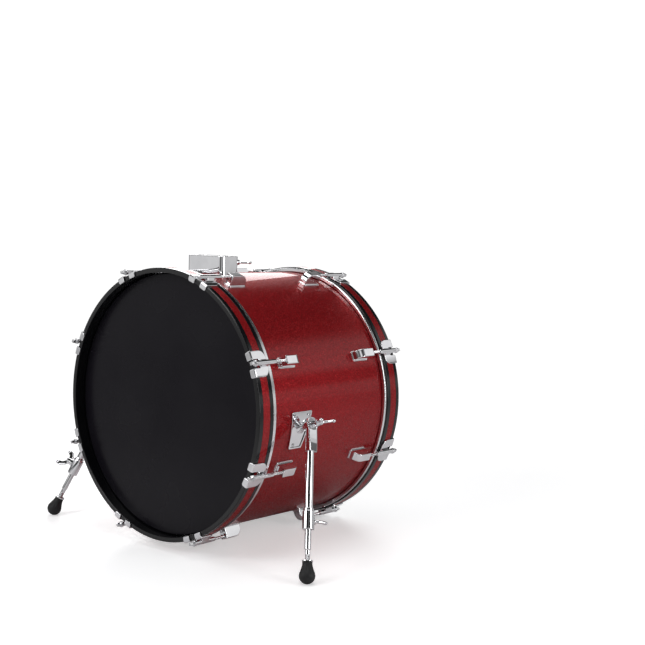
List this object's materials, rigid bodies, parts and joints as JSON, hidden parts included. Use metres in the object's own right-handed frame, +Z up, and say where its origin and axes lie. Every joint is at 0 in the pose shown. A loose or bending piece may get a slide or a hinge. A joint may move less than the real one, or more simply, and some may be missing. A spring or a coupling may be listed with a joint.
{
  "type": "bass drum",
  "caption": "Bass drum lying on its side: wood shell with two heads under clamped hoops, claw hooks and tension rods, twin tom post bracket, folding telescopic spurs.",
  "frame": {"origin": "on the floor, below the middle of the drum: the centre of the bottom of the bounding box", "axes": "+Z up, the drum's axis lies along Y with the front head at -Y and its front tipped up by 2.5 degrees, +X to the right as seen from the front"},
  "size_m": [0.8298, 0.5086, 0.6235],
  "materials": {
    "shell": "dark red sparkle wrap under clear gloss, on a wood-ply shell",
    "hoop": "black gloss lacquer",
    "hoop_inlay": "dark red sparkle, gloss",
    "head": "black polyester film, satin gloss",
    "flesh_hoop": "bright rolled aluminium",
    "chrome": "polished chrome plate",
    "steel": "plated steel, lightly brushed",
    "rubber": "moulded black rubber, matt",
    "gasket": "thin black gasket, matt"
  },
  "bodies": {
    "drum": {"shell": "shell", "front_hoop": "hoop", "front_hoop_inlay": "hoop_inlay", "front_head": "head", "front_flesh_hoop": "flesh_hoop", "rear_hoop": "hoop", "rear_hoop_inlay": "hoop_inlay", "rear_head": "head", "rear_flesh_hoop": "flesh_hoop", "front_claw_1": "chrome", "front_claw_2": "chrome", "front_claw_3": "chrome", "front_claw_4": "chrome", "front_claw_5": "chrome", "front_claw_6": "chrome", "front_claw_7": "chrome", "front_claw_8": "chrome", "rear_claw_1": "chrome", "rear_claw_2": "chrome", "rear_claw_3": "chrome", "rear_claw_4": "chrome", "rear_claw_5": "chrome", "rear_claw_6": "chrome", "rear_claw_7": "chrome", "rear_claw_8": "chrome", "tom_bracket": "chrome", "tom_bracket_gasket": "gasket", "left_spur_bracket": "chrome", "right_spur_bracket": "chrome"},
    "front_rod_1": {"front_tension_rod_1": "steel"},
    "front_rod_2": {"front_tension_rod_2": "steel"},
    "front_rod_3": {"front_tension_rod_3": "steel"},
    "front_rod_4": {"front_tension_rod_4": "steel"},
    "front_rod_5": {"front_tension_rod_5": "steel"},
    "front_rod_6": {"front_tension_rod_6": "steel"},
    "front_rod_7": {"front_tension_rod_7": "steel"},
    "front_rod_8": {"front_tension_rod_8": "steel"},
    "rear_rod_1": {"rear_tension_rod_1": "steel"},
    "rear_rod_2": {"rear_tension_rod_2": "steel"},
    "rear_rod_3": {"rear_tension_rod_3": "steel"},
    "rear_rod_4": {"rear_tension_rod_4": "steel"},
    "rear_rod_5": {"rear_tension_rod_5": "steel"},
    "rear_rod_6": {"rear_tension_rod_6": "steel"},
    "rear_rod_7": {"rear_tension_rod_7": "steel"},
    "rear_rod_8": {"rear_tension_rod_8": "steel"},
    "left_tom_bolt": {"left_tom_wing_bolt": "chrome"},
    "right_tom_bolt": {"right_tom_wing_bolt": "chrome"},
    "left_leg": {"left_spur_leg": "chrome", "left_spur_collar": "chrome"},
    "left_pivot_bolt": {"left_spur_pivot_bolt": "chrome"},
    "left_collar_bolt": {"left_spur_collar_bolt": "chrome"},
    "left_inner_rod": {"left_spur_rod": "steel"},
    "left_foot": {"left_spur_foot": "rubber"},
    "right_leg": {"right_spur_leg": "chrome", "right_spur_collar": "chrome"},
    "right_pivot_bolt": {"right_spur_pivot_bolt": "chrome"},
    "right_collar_bolt": {"right_spur_collar_bolt": "chrome"},
    "right_inner_rod": {"right_spur_rod": "steel"},
    "right_foot": {"right_spur_foot": "rubber"}
  },
  "joints": [
    {"name": "front_rod_1_turn", "type": "hinge", "parent": "drum", "child": "front_rod_1", "pos_m": [0.2767, -0.22658, 0.42576], "axis": [0, -0.999, 0.0436], "continuous": true},
    {"name": "front_rod_2_turn", "type": "hinge", "parent": "drum", "child": "front_rod_2", "pos_m": [0.11461, -0.21951, 0.5877], "axis": [0, -0.999, 0.0436], "continuous": true},
    {"name": "front_rod_3_turn", "type": "hinge", "parent": "drum", "child": "front_rod_3", "pos_m": [-0.11461, -0.21951, 0.5877], "axis": [0, -0.999, 0.0436], "continuous": true},
    {"name": "front_rod_4_turn", "type": "hinge", "parent": "drum", "child": "front_rod_4", "pos_m": [-0.2767, -0.22658, 0.42576], "axis": [0, -0.999, 0.0436], "continuous": true},
    {"name": "front_rod_5_turn", "type": "hinge", "parent": "drum", "child": "front_rod_5", "pos_m": [-0.2767, -0.23658, 0.19675], "axis": [0, -0.999, 0.0436], "continuous": true},
    {"name": "front_rod_6_turn", "type": "hinge", "parent": "drum", "child": "front_rod_6", "pos_m": [-0.11461, -0.24365, 0.03482], "axis": [0, -0.999, 0.0436], "continuous": true},
    {"name": "front_rod_7_turn", "type": "hinge", "parent": "drum", "child": "front_rod_7", "pos_m": [0.11461, -0.24365, 0.03482], "axis": [0, -0.999, 0.0436], "continuous": true},
    {"name": "front_rod_8_turn", "type": "hinge", "parent": "drum", "child": "front_rod_8", "pos_m": [0.2767, -0.23658, 0.19675], "axis": [0, -0.999, 0.0436], "continuous": true},
    {"name": "rear_rod_1_turn", "type": "hinge", "parent": "drum", "child": "rear_rod_1", "pos_m": [0.2767, 0.23658, 0.40554], "axis": [0, 0.999, -0.0436], "continuous": true},
    {"name": "rear_rod_2_turn", "type": "hinge", "parent": "drum", "child": "rear_rod_2", "pos_m": [0.11461, 0.24365, 0.56747], "axis": [0, 0.999, -0.0436], "continuous": true},
    {"name": "rear_rod_3_turn", "type": "hinge", "parent": "drum", "child": "rear_rod_3", "pos_m": [-0.11461, 0.24365, 0.56747], "axis": [0, 0.999, -0.0436], "continuous": true},
    {"name": "rear_rod_4_turn", "type": "hinge", "parent": "drum", "child": "rear_rod_4", "pos_m": [-0.2767, 0.23658, 0.40554], "axis": [0, 0.999, -0.0436], "continuous": true},
    {"name": "rear_rod_5_turn", "type": "hinge", "parent": "drum", "child": "rear_rod_5", "pos_m": [-0.2767, 0.22658, 0.17653], "axis": [0, 0.999, -0.0436], "continuous": true},
    {"name": "rear_rod_6_turn", "type": "hinge", "parent": "drum", "child": "rear_rod_6", "pos_m": [-0.11461, 0.21951, 0.0146], "axis": [0, 0.999, -0.0436], "continuous": true},
    {"name": "rear_rod_7_turn", "type": "hinge", "parent": "drum", "child": "rear_rod_7", "pos_m": [0.11461, 0.21951, 0.0146], "axis": [0, 0.999, -0.0436], "continuous": true},
    {"name": "rear_rod_8_turn", "type": "hinge", "parent": "drum", "child": "rear_rod_8", "pos_m": [0.2767, 0.22658, 0.17653], "axis": [0, 0.999, -0.0436], "continuous": true},
    {"name": "left_tom_bolt_turn", "type": "hinge", "parent": "drum", "child": "left_tom_bolt", "pos_m": [-0.0373, -0.03739, 0.60707], "axis": [0, 0.999, -0.0436], "continuous": true},
    {"name": "right_tom_bolt_turn", "type": "hinge", "parent": "drum", "child": "right_tom_bolt", "pos_m": [0.0373, -0.03739, 0.60707], "axis": [0, 0.999, -0.0436], "continuous": true},
    {"name": "left_spur_fold", "type": "hinge", "parent": "drum", "child": "left_leg", "pos_m": [-0.3075, -0.09468, 0.28766], "axis": [0.9521, -0.0133, -0.3056], "range_deg": [-25, 90]},
    {"name": "left_spur_extend", "type": "slide", "parent": "left_leg", "child": "left_inner_rod", "axis": [-0.2887, -0.3695, -0.8832], "range_m": [-0.045, 0.06]},
    {"name": "left_foot_turn", "type": "hinge", "parent": "left_inner_rod", "child": "left_foot", "pos_m": [-0.3962, -0.2082, 0.0163], "axis": [0.2887, 0.3695, 0.8832], "continuous": true},
    {"name": "left_pivot_bolt_turn", "type": "hinge", "parent": "drum", "child": "left_pivot_bolt", "pos_m": [-0.31397, -0.09459, 0.28974], "axis": [-0.9521, 0.0133, 0.3056], "continuous": true},
    {"name": "left_collar_bolt_turn", "type": "hinge", "parent": "left_leg", "child": "left_collar_bolt", "pos_m": [-0.3817, -0.16648, 0.12118], "axis": [-0.9521, 0.0133, 0.3056], "continuous": true},
    {"name": "right_spur_fold", "type": "hinge", "parent": "drum", "child": "right_leg", "pos_m": [0.3075, -0.09468, 0.28766], "axis": [0.9521, 0.0133, 0.3056], "range_deg": [-25, 90]},
    {"name": "right_spur_extend", "type": "slide", "parent": "right_leg", "child": "right_inner_rod", "axis": [0.2887, -0.3695, -0.8832], "range_m": [-0.045, 0.06]},
    {"name": "right_foot_turn", "type": "hinge", "parent": "right_inner_rod", "child": "right_foot", "pos_m": [0.3962, -0.2082, 0.0163], "axis": [-0.2887, 0.3695, 0.8832], "continuous": true},
    {"name": "right_pivot_bolt_turn", "type": "hinge", "parent": "drum", "child": "right_pivot_bolt", "pos_m": [0.31397, -0.09459, 0.28974], "axis": [0.9521, 0.0133, 0.3056], "continuous": true},
    {"name": "right_collar_bolt_turn", "type": "hinge", "parent": "right_leg", "child": "right_collar_bolt", "pos_m": [0.3587, -0.15069, 0.10705], "axis": [-0.2709, 0.8533, -0.4455], "continuous": true}
  ]
}
